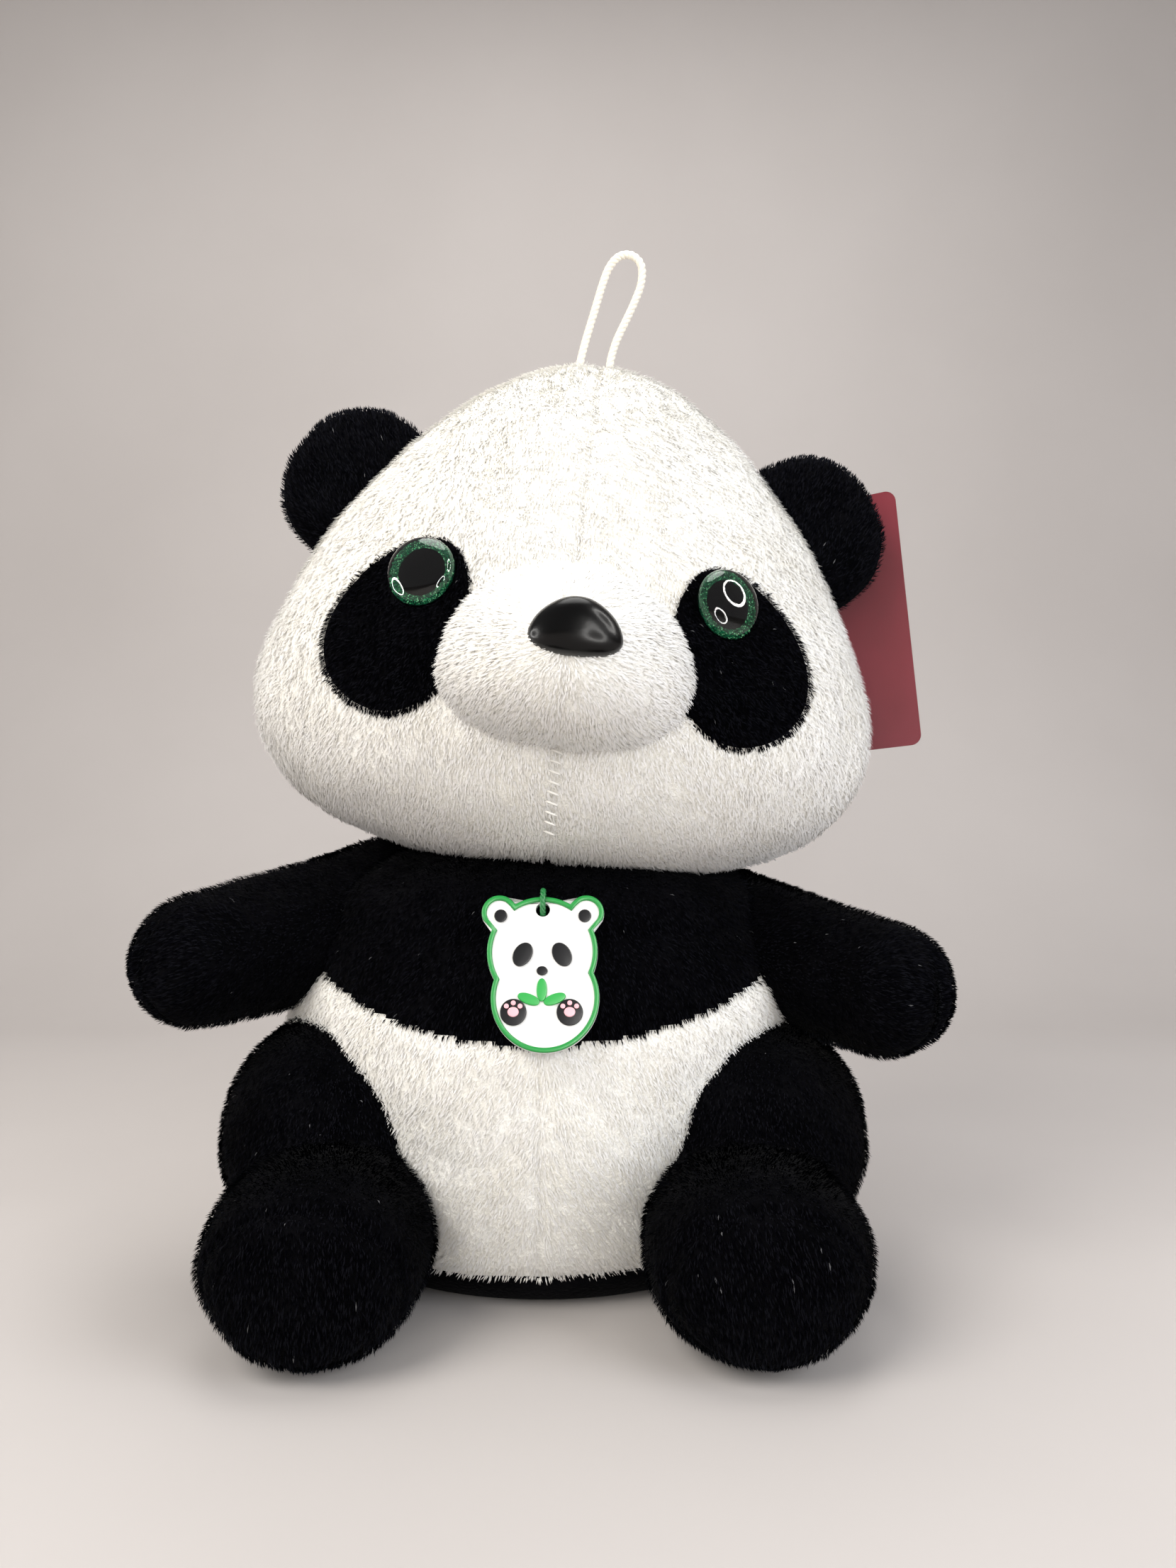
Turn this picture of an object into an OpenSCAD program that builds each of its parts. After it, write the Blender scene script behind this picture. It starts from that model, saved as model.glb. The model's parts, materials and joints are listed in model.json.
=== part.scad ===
// Sitting plush panda: sewn covers over fibre fill, plastic eyes and nose, a hanging loop,
// a charm on a neck cord and a swing tag on one ear. Millimetres, +Z up, face towards -Y.
// The origin is the centre of the flat seat panel, on the surface that the toy sits on.

/* [Head] */
// Width of the head at the cheeks
head_w = 213; // [200:1:218]
// Height of the head from chin to crown
head_h = 178; // [170:1:182]
// Depth of the head as a share of its width
head_depth = 0.66; // [0.62:0.01:0.68]
// Lean of the head to one side, degrees
head_roll = 6; // [4:1:7]
// Turn of the head to one side, degrees
head_turn = 1; // [0:1:2]

/* [Face] */
// Width of the muzzle
muzzle_w = 76; // [70:1:80]
// Height of the muzzle
muzzle_h = 55; // [50:1:58]
// Diameter of the eye lens
eye_d = 22; // [20:1:23]
// Distance between the eye centres
eye_gap = 93; // [90:1:95]
// Width of the nose
nose_w = 25; // [22:1:27]

/* [Ears] */
// Half length of an ear along its seam
ear_r = 32; // [28:1:33]
// Thickness of an ear
ear_t = 18; // [14:1:18]

/* [Body] */
// Width of the belly
body_w = 186; // [180:1:190]
// Depth of the body as a share of its width
body_depth = 0.75; // [0.72:0.01:0.76]
// Thickness of the pile cloth
cover_t = 3; // [2:0.5:3]

/* [Limbs] */
// Length of an arm from the shoulder's centre to the paw's tip
arm_l = 98; // [90:1:100]
// Diameter of an arm at the shoulder
arm_d = 48; // [46:1:51]
// Diameter of the paw
paw_d = 43; // [40:1:45]
// Width of a foot
foot_w = 66; // [60:1:67]

/* [Charm and tag] */
// Width of the charm's body
charm_w = 36; // [32:1:38]
// Thickness of the charm's plate
charm_t = 3; // [2:0.5:4]
// Width of the swing tag
tag_w = 60; // [50:1:62]
// Height of the swing tag
tag_h = 98; // [90:1:100]

/* [Hidden] */
$fn = 64;

white_pile = [0.95, 0.94, 0.9];
black_pile = [0.03, 0.03, 0.04];
fibre_fill = [0.86, 0.87, 0.9];
charm_green = [0.05, 0.55, 0.16];

sides = 24;                  // sides of the rings that soft forms are built from
play = 0.9;                  // gap around every soft joint
fill_gap = 0.3;              // gap between a cover and its fill
far = 300;                   // larger than the toy, for cutting blocks

// Neck and head
neck = [0, -2, 134];         // centre that the head turns and nods about
neck_r = 20;
head_c = [0, -10, 226];      // centre of the head form
head_taper = 0.4;            // how much narrower the crown is than the cheeks
head_full = 1.083;           // widest radius of the tapered form over its base radius
head_power = 2.3;            // 2 is a plain ellipse, more is squarer
eye_z = 227;
eye_turn = [-20, 30];        // turn of the left and right eye away from straight ahead
eye_tilt = 12;               // how far the eyes face upwards
patch_c = [52, 0, 212];      // centre of an eye patch
patch_size = [44, 59];
patch_lean = 24;
patch_t = 1.6;
muzzle_c = [0, -72, 205];
muzzle_reach = 32;
nose_c = [2, -101, 211];
pin_r = 2.4;
pin_l = 15;
washer_r = 8;
washer_t = 1.5;

// Ears, tag
ear_root = [81, 4, 267];     // middle of the right ear's seam line
ear_lean = 35;               // angle of the ear's outward direction above level
tag_turn = -25;              // turn of the card about the vertical
tag_tilt = -6;               // tilt of the card in its own plane
tag_hole = [110, 29, 270];
tag_hole_r = 1.5;
tag_t = 0.8;
tag_pin_r = 0.5;
tag_pin_l = 28;              // thread from the tag to the disc inside the ear

// Torso
widest_z = 75;
seat_z = 12;                 // height of the seam between the seat panel and the covers
chest_z = 128;               // top of the torso
low_h = 110;                 // half height of the form below its widest level
high_h = 80;                 // half height of the form above its widest level
body_power = 2.2;
seat_round = 9;              // how far the seat panel's lower edge rounds in
band_z = 104;                // height of the chest band's lower seam at the body's middle
band_slope = 14;

// Limbs
shoulder_left = [-58, 10, 121];
shoulder_right = [58, 10, 112];
arm_forward = 44;            // how far an arm points forward of straight out
arm_drop = 9;
arm_travel = [0, 5, 10];     // angles, degrees, that the room around an arm is cut at
hip = [70, -30, 49];
haunch = [38, 36.5];            // half width and radius of the round haunch
foot_c = [65, -76, 29];
foot_h = 57;
foot_half_l = 34;
foot_power = 3;
leg_travel = [-6, 4, 14, 23];  // angles, degrees, that the room around a leg is cut at
tail_root = [0, 66, 38];
tail_tip = [0, 74, 39];
tail_r = 17;

// Charm, leaning on the chest, drawn in its own plane around the cord hole
charm_hole = [1, -60.8, 127];
charm_lean = 19;
charm_hole_r = 2.2;
charm_head = [0, -13, 17];   // x, y and radius of each lobe of the charm's outline
charm_belly = [1, -27, 15.5];
charm_ear = [13.5, -1, 5.5];
relief = 0.9;

// Cords: hand-laid routes
loop_d = 2.6;
loop_route = [
    [11, -10, 312], [12, -10, 317], [14, -10, 325], [17, -10, 335], [20, -10, 345],
    [22.5, -10, 351.5], [26, -10, 355.5], [30.5, -10, 356], [34, -10, 352.5], [34, -10, 346],
    [31.5, -10, 339], [28, -10, 331.5], [25, -10, 325], [23, -10, 318], [22.5, -10, 312]
];
cord_d = 2.2;
cord_route = [
    [2, -23, 129.4], [2, -27, 129.6], [2, -32, 129.6], [2, -37, 129.6], [2, -42, 129.6],
    [2, -47, 129.6], [1.8, -51.5, 129.8], [1.4, -55.5, 130.2]
];

// Share of the full radius at height fraction s, from -1 at the bottom to 1 at the top
function bulge(s, power) = pow(max(0, 1 - pow(abs(s), power)), 1 / power);

// Half outline of a closed plump form of radius r and half height h, tapered towards its top
function plump(r, h, power = 2, taper = 0, step = 18) =
    [for (a = [-90 : step : 90]) [r * bulge(sin(a), power) * (1 - taper * sin(a)), h * sin(a)]];

// Radius of the torso form at height z
function torso_r(z) =
    body_w / 2 * bulge((z - widest_z) / (z < widest_z ? low_h : high_h), body_power);

function ring(r, depth, z) =
    [for (k = [0 : sides - 1]) let (a = 360 * k / sides) [r * cos(a), r * depth * sin(a), z]];

// Soft form turned about Z from [radius, height] points, its section squashed to depth along Y
module soft_form(outline, depth = 1) {
    for (i = [0 : len(outline) - 2]) {
        pair = concat(ring(outline[i].x, depth, outline[i].y),
                      ring(outline[i + 1].x, depth, outline[i + 1].y));
        hull() polyhedron(pair, [[for (k = [0 : len(pair) - 1]) k]]);
    }
}

module soft_ball(r) soft_form(plump(r, r));

// Rings of a round cord of diameter d around a route that stays in one upright plane
function unit(v) = v / norm(v);
function along(route, i) =
    unit(route[min(i + 1, len(route) - 1)] - route[max(i - 1, 0)]);
function cord_ring(route, i, d, side, sides) =
    let (up = cross(along(route, i), side))
    [for (k = [0 : sides - 1]) let (a = 360 * k / sides)
        route[i] + d / 2 * (cos(a) * side + sin(a) * up)];

// side is the level direction square to the plane that the route runs in
module cord(route, d, side, sides = 8) {
    n = len(route);
    rings = [for (i = [0 : n - 1]) each cord_ring(route, i, d, side, sides)];
    walls = [for (i = [0 : n - 2], k = [0 : sides - 1]) let (j = (k + 1) % sides)
        [i * sides + k, i * sides + j, (i + 1) * sides + j, (i + 1) * sides + k]];
    first = [[for (k = [sides - 1 : -1 : 0]) k]];
    last = [[for (k = [0 : sides - 1]) (n - 1) * sides + k]];
    polyhedron(rings, concat(walls, first, last));
}

// Places what is drawn upright in the head's own lean and turn
module on_head() {
    translate(neck) rotate([0, head_roll, head_turn]) translate(-neck) children();
}

module head_form(grow) {
    r = head_w / 2 / head_full + grow;
    translate(head_c)
        soft_form(plump(r, head_h / 2 + grow, head_power, head_taper, 10), head_depth);
}

module muzzle_form(grow) {
    r = muzzle_w / 2 + grow;
    translate(muzzle_c) soft_form(plump(r, muzzle_h / 2 + grow), (muzzle_reach + grow) / r);
}

// Draws along -Y from a point on the face, turned about the vertical
module facing(at, turn) {
    translate(at) rotate([0, 0, turn]) rotate([90, 0, 0]) children();
}

function face_y(x, z) =
    let (s = (z - head_c.z) / (head_h / 2),
         r = head_w / 2 / head_full * bulge(s, head_power) * (1 - head_taper * s))
    head_c.y - head_depth * sqrt(r * r - x * x);

function eye_at(side) =
    let (x = side * eye_gap / 2) [x, face_y(x, eye_z) - patch_t, eye_z];
function eye_angle(side) = side < 0 ? eye_turn[0] : eye_turn[1];

module at_eye(side)
    facing(eye_at(side), eye_angle(side)) rotate([-eye_tilt, 0, 0]) children();

module eye_hole(side, r) at_eye(side) translate([0, 0, -30]) cylinder(r = r, h = 40, $fn = 24);

// Room in the cloth for the flat back of an eye
module eye_seat(side) at_eye(side) translate([0, 0, 0.1]) cylinder(d = eye_d + 0.4, h = 20, $fn = 24);

module at_nose() facing(nose_c, 0) children();

// Rounded triangle with its flat side down
module nose_pad(grow) hull() {
    for (x = [-1, 1]) translate([x * (nose_w / 2 - 6), -2.5, 1]) sphere(6 + grow, $fn = 20);
    translate([0, 4.5, 0]) sphere(4 + grow, $fn = 20);
}

// Egg outline of an eye patch, its narrow end up and inwards
module patch_outline(side) {
    translate([side * patch_c.x, patch_c.z]) rotate(side * patch_lean) hull() {
        translate([0, -patch_size[1] / 2 + patch_size[0] * 0.48]) circle(patch_size[0] * 0.48);
        translate([0, patch_size[1] / 2 - patch_size[0] * 0.34]) circle(patch_size[0] * 0.34);
    }
}

// Soft root ball in its hollow, and the limb that grows from it, along local +Z
module limb_form(root_r, tip_r, length, grow) {
    soft_form(concat(
        [for (a = [-90 : 18 : 0]) (root_r + grow) * [cos(a), sin(a)]],
        [for (a = [0 : 18 : 90]) [0, length - tip_r] + (tip_r + grow) * [cos(a), sin(a)]]
    ));
}

module on_shoulder(side) {
    at = side < 0 ? shoulder_left : shoulder_right;
    translate(at) rotate([0, 0, side < 0 ? 180 + arm_forward : -arm_forward])
        rotate([0, 90 + arm_drop, 0]) children();
}

module arm_form(side, grow) on_shoulder(side) limb_form(arm_d / 2, paw_d / 2, arm_l, grow);

// The space that an arm sweeps through as it lifts
module arm_room(side) on_shoulder(side)
    hull() for (a = arm_travel) rotate([0, -a, 0]) limb_form(arm_d / 2, paw_d / 2, arm_l, play);

module haunch_form(side, grow) {
    translate([side * hip.x, hip.y, hip.z]) rotate([0, 90, 0])
        soft_form(plump(haunch.y + grow, haunch.x + grow));
}

module foot_form(side, grow) {
    translate([side * foot_c.x, foot_c.y, foot_c.z]) rotate([90, 0, 0])
        soft_form(plump(foot_w / 2 + grow, foot_half_l + grow, foot_power), foot_h / foot_w);
}

// The space that a leg sweeps through as it swings about the hip
module leg_room(side) {
    haunch_form(side, play);
    hull() for (a = leg_travel)
        translate(hip) rotate([-a, 0, 0]) translate(-hip) foot_form(side, play);
}

module tail_form(grow) {
    lean = atan2(tail_tip.z - tail_root.z, tail_tip.y - tail_root.y);
    translate(tail_root) rotate([lean - 90, 0, 0])
        limb_form(tail_r, tail_r, norm(tail_tip - tail_root) + tail_r, grow);
}

// Everything that the torso leaves room for
module joint_rooms() {
    for (side = [-1, 1]) {
        leg_room(side);
        arm_room(side);
    }
    translate(neck) soft_ball(neck_r + play);
    tail_form(play);
}

module torso_form(grow, low_z, high_z) {
    levels = [for (i = [0 : 10]) low_z + (high_z - low_z) * i / 10];
    soft_form([for (z = levels) [torso_r(z) + grow, z]], body_depth);
}

module torso_shell() {
    difference() {
        torso_form(0, seat_z + 0.1, chest_z);
        torso_form(-cover_t, seat_z - 1, chest_z - cover_t);
        joint_rooms();
    }
}

// Half space above the chest band's lower seam, raised by lift
module above_band(lift) {
    translate([0, 0, band_z + lift]) rotate([band_slope, 0, 0])
        translate([-far / 2, -far / 2, 0]) cube(far);
}

module body_cover() color(white_pile) difference() {
    torso_shell();
    above_band(0);
}

module chest_band() color(black_pile) intersection() {
    torso_shell();
    above_band(0.1);
}

// Radius of the seat panel at share f of its height, with a rounded lower edge
function seat_edge(f, grow) = torso_r(seat_z * f) - seat_round * (1 - bulge(1 - f, 2)) + grow;

module base_panel() color(black_pile) difference() {
    soft_form([for (f = [0 : 0.25 : 1]) [seat_edge(f, 0), seat_z * f]], body_depth);
    soft_form([for (f = [0 : 0.25 : 1]) [seat_edge(f, -cover_t), cover_t + seat_z * f]], body_depth);
    for (side = [-1, 1]) leg_room(side);
}

module body_stuffing() color(fibre_fill) difference() {
    torso_form(-cover_t - fill_gap, seat_z + fill_gap, chest_z - cover_t - fill_gap);
    joint_rooms();
}

module charm_cord() color(charm_green) cord(cord_route, cord_d, [1, 0, 0]);

module neck_stuffing() color(fibre_fill) translate(neck) soft_ball(neck_r);

module head_cover() color(white_pile) on_head() difference() {
    head_form(0);
    head_form(-cover_t);
    translate([neck.x, neck.y, head_c.z - head_h])
        cylinder(r = neck_r + 4, h = head_h / 2 + 25, $fn = sides);
    for (side = [-1, 1]) {
        eye_hole(side, pin_r + 0.2);
        eye_seat(side);
    }
    at_nose() translate([0, 0, -50]) cylinder(r = pin_r + 0.2, h = 50, $fn = 24);
    ear_rooms();
}

// Room in the fill for a stem and its washer
module washer_room(depth) translate([0, 0, -depth]) cylinder(r = washer_r + 0.5, h = 60, $fn = 24);

module head_stuffing() color(fibre_fill) on_head() difference() {
    head_form(-cover_t - fill_gap);
    ear_rooms();
    translate(neck) soft_ball(neck_r + play);
    for (side = [-1, 1]) at_eye(side) washer_room(18);
    at_nose() washer_room(46);
}

module muzzle_cover() color(white_pile) on_head() difference() {
    muzzle_form(0);
    muzzle_form(-cover_t);
    head_form(0.1);
    at_nose() {
        translate([0, 0, -30]) cylinder(r = pin_r + 0.2, h = 40, $fn = 24);
        nose_pad(fill_gap);
    }
}

module muzzle_stuffing() color(fibre_fill) on_head() difference() {
    muzzle_form(-cover_t - fill_gap);
    head_form(0.1);
    at_nose() {
        translate([0, 0, -60]) cylinder(r = pin_r + 0.2, h = 60, $fn = 24);
        nose_pad(fill_gap);
    }
}

module eye_patch(side) color(black_pile) on_head() difference() {
    head_form(patch_t);
    head_form(0.1);
    translate([0, far / 2 + head_c.y, 0]) cube([far, far, far * 3], center = true);
    difference() {
        translate([0, head_c.y, head_c.z]) cube([far, far, far], center = true);
        rotate([90, 0, 0]) linear_extrude(far) patch_outline(side);
    }
    muzzle_form(0.2);
    eye_hole(side, pin_r + 0.2);
    eye_seat(side);
}

module eye_iris(side) color(charm_green) on_head() at_eye(side)
    translate([0, 0, 0.2]) cylinder(d = eye_d - 1, h = 0.8);

module eye_lens(side) color([0.8, 0.9, 0.85, 0.4]) on_head() at_eye(side)
    translate([0, 0, 1]) rotate_extrude() polygon(concat(
        [[0, 0]], [for (a = [0 : 10 : 90]) [eye_d / 2 * cos(a), 0.8 + 5 * sin(a)]]
    ));

module eye_pin(side) color("dimgray") on_head() at_eye(side)
    translate([0, 0, 0.2 - pin_l]) cylinder(r = pin_r, h = pin_l);

module eye_washer(side) color("white") on_head() at_eye(side)
    translate([0, 0, -11]) difference() {
        cylinder(r = washer_r, h = washer_t);
        translate([0, 0, -1]) cylinder(r = pin_r, h = washer_t + 2);
    }

// Nose button on a stem that runs back into the head
module nose() color([0.03, 0.03, 0.03]) on_head() at_nose() {
    nose_pad(0);
    translate([0, 0, -45]) cylinder(r = pin_r, h = 45);
}

module nose_washer() color("white") on_head() at_nose()
    translate([0, 0, -43]) difference() {
        cylinder(r = washer_r, h = washer_t);
        translate([0, 0, -1]) cylinder(r = pin_r, h = washer_t + 2);
    }

module hanging_loop() color([0.93, 0.89, 0.76]) cord(loop_route, loop_d, [0, 1, 0]);

// Draws in an ear's own frame: X along the seam line, Y through the pad, Z outwards
module on_ear(side) {
    on_head() translate([side * ear_root.x, ear_root.y, ear_root.z])
        rotate([0, side * (90 - ear_lean), 0]) children();
}

// The round seam edge that an ear turns on
module ear_edge(grow) rotate([0, 90, 0]) soft_form(plump(ear_t / 2 + grow, ear_r + grow));

module ear_rooms() {
    for (side = [-1, 1]) translate([side * ear_root.x, ear_root.y, ear_root.z])
        rotate([0, side * (90 - ear_lean), 0]) ear_edge(fill_gap);
}

// A round seam edge that turns in place, and the half disc pad above it
module ear_form(side) {
    on_ear(side) {
        ear_edge(0);
        intersection() {
            soft_form(plump(ear_r, ear_r), ear_t / 2 / ear_r);
            translate([-far / 2, -far / 2, 0]) cube(far);
        }
    }
}

module at_tag() translate(tag_hole) rotate([0, 0, tag_turn]) rotate([-90, 0, 0]) children();

module ear_left() color(black_pile) ear_form(-1);

module ear_right() color(black_pile) difference() {
    ear_form(1);
    at_tag() {
        translate([0, 0, -tag_pin_l - 0.2]) cylinder(r = tag_pin_r + 0.2, h = tag_pin_l, $fn = 16);
        translate([0, 0, -tag_pin_l - 0.2]) cylinder(r = 2.2, h = 1.4, $fn = 16);
    }
}

// A thread into the ear, with a disc held in the pad at one end and a paddle at the other
module tag_pin() color([0.9, 0.9, 0.9]) at_tag() {
    translate([0, 0, -tag_pin_l]) cylinder(r = tag_pin_r, h = tag_pin_l + 3);
    translate([0, 0, -tag_pin_l]) cylinder(r = 2, h = 1);
    translate([0, 0, 2.5]) cylinder(r = 2.5, h = 1);
}

module swing_tag() color([0.43, 0.04, 0.08]) at_tag() rotate(tag_tilt) difference() {
    translate([-tag_w / 2 - 4.5, -7, -tag_t / 2]) linear_extrude(tag_t) hull()
        for (x = [4, tag_w - 4], y = [4, tag_h - 4]) translate([x, y]) circle(4);
    translate([0, 0, -2]) cylinder(r = tag_hole_r, h = 4);
}

// A cover is open where the limb is sewn to the body
module arm_cover(side) color(black_pile) difference() {
    arm_form(side, 0);
    arm_form(side, -cover_t);
    on_shoulder(side) translate([0, 0, -arm_d])
        cylinder(d = arm_d * 0.6, h = arm_d, $fn = sides);
}

module arm_stuffing(side) color(fibre_fill) arm_form(side, -cover_t - fill_gap);

module leg_form(side, grow) {
    haunch_form(side, grow);
    foot_form(side, grow);
}

module leg_cover(side) color(black_pile) difference() {
    leg_form(side, 0);
    leg_form(side, -cover_t);
    translate([side * (hip.x - haunch.x - far / 2 + 6), 0, 0]) cube(far, center = true);
    sole_cut(side);
}

module leg_stuffing(side) color(fibre_fill) leg_form(side, -cover_t - fill_gap);

// Block in front of the sole's seam
module sole_cut(side) {
    translate([side * foot_c.x, foot_c.y - foot_half_l + 3 - far / 2, foot_c.z])
        cube(far, center = true);
}

module leg_sole(side) color(black_pile) difference() {
    intersection() {
        foot_form(side, 0);
        translate([0, -0.1, 0]) sole_cut(side);
    }
    foot_form(side, -cover_t);
}

module tail() color(black_pile) tail_form(0);

// Draws in the charm's plane: X right, Y up, Z out from the chest, with the origin at the hole
module on_charm() translate(charm_hole) rotate([90 - charm_lean, 0, 0]) children();

module lobe(spot, grow) translate([spot.x, spot.y]) circle(spot.z + grow);

module charm_outline(grow) {
    lobe(charm_head, grow);
    lobe([charm_belly.x, charm_belly.y, charm_w / 2 - 1.5], grow);
    for (side = [-1, 1]) translate([side * charm_ear.x, charm_ear.y]) circle(charm_ear.z + grow);
}

module charm_layer(z, h) on_charm() translate([0, 0, z]) linear_extrude(h) children();

module charm_base() color("white") charm_layer(0, charm_t) difference() {
    charm_outline(0);
    circle(charm_hole_r);
}

module charm_rim() color(charm_green) charm_layer(charm_t, relief) difference() {
    charm_outline(0);
    charm_outline(-1.6);
}

module charm_black() color([0.02, 0.02, 0.02]) charm_layer(charm_t, relief) {
    for (side = [-1, 1]) {
        translate([side * 6, -14]) rotate(side * 30) scale([1, 1.4]) circle(2.8);
        translate([side * 8.5, -31.5]) circle(4);
        translate([side * 13, -2]) circle(2);
    }
    translate([0, -19]) circle(1.6);
}

module charm_pink() color([0.96, 0.68, 0.72]) charm_layer(charm_t + relief, 0.5)
    for (side = [-1, 1]) translate([side * 8.5, -31.5]) {
        circle(1.7);
        for (a = [40, 90, 140]) rotate(a) translate([2.7, 0]) circle(0.75);
    }

module charm_leaves() color([0.1, 0.6, 0.2]) charm_layer(charm_t, relief)
    for (a = [20, 90, 160]) translate([0, -29]) rotate(a) translate([4.2, 0])
        intersection_for(side = [-1, 1]) translate([0, side * 3]) circle(4.6);

// Small ring of cord through the charm's hole
module charm_hitch() color(charm_green) translate(charm_hole) rotate([90 - charm_lean, 0, 0])
    translate([0, 2.6, charm_t / 2]) rotate([0, 90, 0])
        rotate_extrude() translate([3.7, 0]) circle(0.9, $fn = 24);

body_cover();
chest_band();
base_panel();
body_stuffing();
charm_cord();
neck_stuffing();
head_cover();
head_stuffing();
muzzle_cover();
muzzle_stuffing();
eye_patch(-1);  // eye_patch_left
eye_patch(1);  // eye_patch_right
eye_lens(-1);  // eye_lens_left
eye_lens(1);  // eye_lens_right
eye_iris(-1);  // eye_iris_left
eye_iris(1);  // eye_iris_right
eye_pin(-1);  // eye_pin_left
eye_pin(1);  // eye_pin_right
eye_washer(-1);  // eye_washer_left
eye_washer(1);  // eye_washer_right
nose();
nose_washer();
hanging_loop();
ear_left();
ear_right();
tag_pin();
swing_tag();
arm_cover(-1);  // arm_left_cover
arm_stuffing(-1);  // arm_left_stuffing
arm_cover(1);  // arm_right_cover
arm_stuffing(1);  // arm_right_stuffing
leg_cover(-1);  // leg_left_cover
leg_stuffing(-1);  // leg_left_stuffing
leg_sole(-1);  // leg_left_sole
leg_cover(1);  // leg_right_cover
leg_stuffing(1);  // leg_right_stuffing
leg_sole(1);  // leg_right_sole
tail();
charm_hitch();
charm_base();
charm_rim();
charm_black();
charm_pink();
charm_leaves();
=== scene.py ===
import json
import math

import bpy
import numpy as np
from mathutils import Matrix, Vector


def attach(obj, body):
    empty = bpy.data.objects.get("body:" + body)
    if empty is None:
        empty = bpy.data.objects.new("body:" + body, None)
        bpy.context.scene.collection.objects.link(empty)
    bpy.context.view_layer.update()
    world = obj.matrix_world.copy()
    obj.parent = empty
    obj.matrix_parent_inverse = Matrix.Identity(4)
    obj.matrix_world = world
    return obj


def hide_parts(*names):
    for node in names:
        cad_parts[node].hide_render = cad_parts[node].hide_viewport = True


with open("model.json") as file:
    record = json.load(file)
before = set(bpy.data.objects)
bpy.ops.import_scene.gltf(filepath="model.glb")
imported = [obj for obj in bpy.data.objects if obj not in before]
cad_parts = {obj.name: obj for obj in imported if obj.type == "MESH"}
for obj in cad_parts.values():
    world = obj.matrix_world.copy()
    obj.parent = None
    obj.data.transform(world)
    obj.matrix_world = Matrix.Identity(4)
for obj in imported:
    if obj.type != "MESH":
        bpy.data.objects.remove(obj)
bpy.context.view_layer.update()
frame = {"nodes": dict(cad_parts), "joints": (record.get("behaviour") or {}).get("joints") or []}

# Looks of a sitting plush panda. Lengths are millimetres until a mesh is made, and MM turns them
# into metres. The forms repeat the design's own formulas, and joints come from the frame.
MM = 0.001


# ---------------------------------------------------------------- driving sizes

def joint_point(name):
    return np.array(next(j["pos_m"] for j in frame["joints"] if j["name"] == name)) / MM


NECK = joint_point("head_nod")
HIP = joint_point("leg_right_lift")
SHOULDERS = {"left": joint_point("arm_left_lift"), "right": joint_point("arm_right_lift")}
TAIL_ROOT = joint_point("tail_wag")
SIDES = {"left": -1, "right": 1}

HEAD_ROLL, HEAD_TURN = math.radians(6), math.radians(1)
HEAD_C = np.array([0, -10, 226])
HEAD_R = 213 / 2 / 1.083
HEAD_H = 89
HEAD_DEPTH, HEAD_POWER, HEAD_TAPER = 0.66, 2.3, 0.4
MUZZLE_C = np.array([0, -72, 205])
MUZZLE = np.array([38, 32, 27.5])
EYE_X, EYE_Z, EYE_R = 46.5, 227, 11
EYE_TURN = {"left": math.radians(-20), "right": math.radians(30)}
EYE_TILT = math.radians(12)
IRIS_R, PUPIL_R, FLAKES = 10.5, 7.6, 2400
PATCH_C, PATCH_HALF_W, PATCH_HALF_H, PATCH_TAPER = (52, 212), 22, 29.5, 0.22
PATCH_LEAN = math.radians(24)
NOSE_C, NOSE = np.array([2, -101, 211]), np.array([12.6, 8.0, 8.4])
EAR_ROOT, EAR_R, EAR_HALF_T = np.array([81, 4, 267]), 29, 9.5
EAR_LEAN = math.radians(35)
BODY_R, BODY_DEPTH, BODY_POWER = 93, 0.75, 2.2
WIDEST_Z, LOW_H, HIGH_H = 75, 110, 80
SEAT_Z = 12
FOOT_C = np.array([65, -76, 29])
FOOT_R, FOOT_HALF_L, FOOT_SQUASH = 33, 34, 57 / 66
HAUNCH_R, HAUNCH_HALF_W = 40, 38
ARM_FORWARD, ARM_DROP = math.radians(44), math.radians(9)
ARM_ROOT_R, ARM_TIP_R, ARM_L = 26, 21.8, 98
TAIL_R, TAIL_HALF_L = 17, 20


# ---------------------------------------------------------------- small maths

def bulge(s, power):
    return np.maximum(0, 1 - np.abs(s) ** power) ** (1 / power)


def unit(v):
    return v / np.maximum(np.linalg.norm(v, axis=-1, keepdims=True), 1e-9)


def turn_matrix(angle, axis):
    return np.array(Matrix.Rotation(angle, 3, axis))


HEAD_M = turn_matrix(HEAD_TURN, "Z") @ turn_matrix(HEAD_ROLL, "Y")


def on_head(points):
    """Moves points drawn upright into the head's own lean and turn."""
    return (points - NECK) @ HEAD_M.T + NECK


def off_head(points):
    """Moves points of the leaning head back to the upright one."""
    return (points - NECK) @ HEAD_M + NECK


def hashed(ix, iy, iz, seed):
    h = ix * 374761393 + iy * 668265263 + iz * 2147483647 + seed * 1274126177
    h = (h ^ (h >> 13)) * 1103515245
    h = h ^ (h >> 16)
    return (h & 0xFFFF) / 32767.5 - 1


def noise(points, size, seed):
    """Smooth random value from -1 to 1 at each point, with features about size across."""
    p = points / size
    cell = np.floor(p).astype(np.int64)
    f = p - cell
    f = f * f * (3 - 2 * f)
    total = 0
    for dx in (0, 1):
        for dy in (0, 1):
            for dz in (0, 1):
                w = np.abs(1 - dx - f[:, 0]) * np.abs(1 - dy - f[:, 1]) * np.abs(1 - dz - f[:, 2])
                total = total + w * hashed(cell[:, 0] + dx, cell[:, 1] + dy, cell[:, 2] + dz, seed)
    return total


# ---------------------------------------------------------------- materials

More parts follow.
